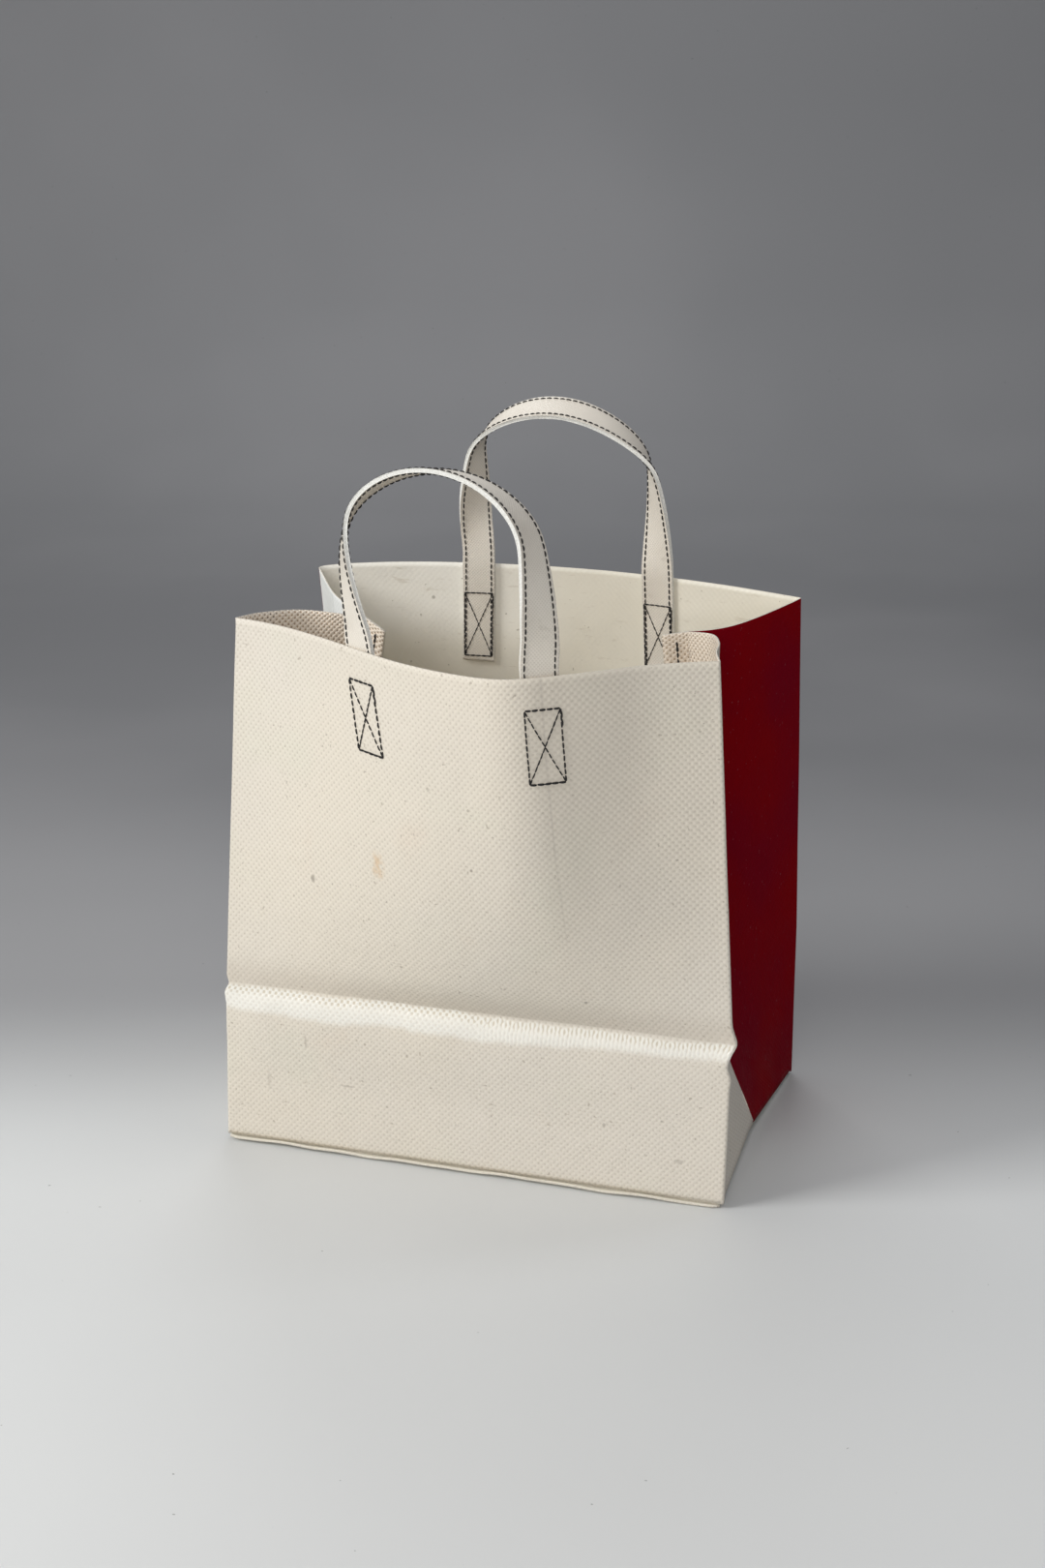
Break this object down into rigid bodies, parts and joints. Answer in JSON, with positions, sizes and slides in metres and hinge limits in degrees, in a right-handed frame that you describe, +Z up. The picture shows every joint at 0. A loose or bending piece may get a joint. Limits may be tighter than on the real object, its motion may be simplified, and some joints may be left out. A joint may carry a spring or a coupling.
{
  "type": "gift bag",
  "caption": "Small carrier-style gift bag of coated woven sheet, with side gussets, a folded flat bottom and sewn strap handles that swing at the rim.",
  "frame": {"origin": "on the floor, under the middle of the folded bottom", "axes": "+X to the right of the front panel, +Y from the front panel to the back panel, +Z up"},
  "size_m": [0.2647, 0.2233, 0.3681],
  "materials": {
    "front_sheet": "cream coated woven sheet, satin, woven grain showing through",
    "back_sheet_red": "coated woven sheet printed deep wine red, glossy",
    "back_sheet_pale": "coated woven sheet, bluish white, satin",
    "strap": "folded coated sheet, satin, raw white edges",
    "thread": "black sewing thread"
  },
  "bodies": {
    "bag": {"front_panel": "front_sheet", "front_lower_panel": "front_sheet", "left_gusset_front_half": "front_sheet", "right_gusset_front_half": "front_sheet", "left_bottom_ear": "front_sheet", "right_bottom_ear": "front_sheet", "front_bottom_flap": "front_sheet", "back_panel": "back_sheet_red", "back_lower_panel": "back_sheet_red", "right_gusset_back_half": "back_sheet_red", "back_bottom_flap": "back_sheet_red", "left_gusset_back_half": "back_sheet_pale", "front_handle_left_end": "strap", "front_handle_right_end": "strap", "back_handle_left_end": "strap", "back_handle_right_end": "strap", "left_seam_front_thread": "thread", "left_seam_back_thread": "thread", "right_seam_front_thread": "thread", "right_seam_back_thread": "thread", "front_handle_left_box_thread_outside": "thread", "front_handle_left_box_thread_inside": "thread", "front_handle_right_box_thread_outside": "thread", "front_handle_right_box_thread_inside": "thread", "back_handle_left_box_thread_outside": "thread", "back_handle_left_box_thread_inside": "thread", "back_handle_right_box_thread_outside": "thread", "back_handle_right_box_thread_inside": "thread"},
    "front_handle": {"front_handle": "strap", "front_handle_first_edge_top_thread": "thread", "front_handle_first_edge_under_thread": "thread", "front_handle_second_edge_top_thread": "thread", "front_handle_second_edge_under_thread": "thread"},
    "back_handle": {"back_handle": "strap", "back_handle_first_edge_top_thread": "thread", "back_handle_first_edge_under_thread": "thread", "back_handle_second_edge_top_thread": "thread", "back_handle_second_edge_under_thread": "thread"}
  },
  "joints": [
    {"name": "front_handle_swing", "type": "hinge", "parent": "bag", "child": "front_handle", "pos_m": [0.00357, -0.11713, 0.27692], "axis": [0.9891, -0.1424, -0.0369], "range_deg": [-90, 105], "stiffness_Nm_per_rad": 0.15},
    {"name": "back_handle_swing", "type": "hinge", "parent": "bag", "child": "back_handle", "pos_m": [0.00207, 0.07665, 0.28539], "axis": [-0.9998, -0.0077, 0.0192], "range_deg": [-90, 105], "stiffness_Nm_per_rad": 0.15}
  ]
}
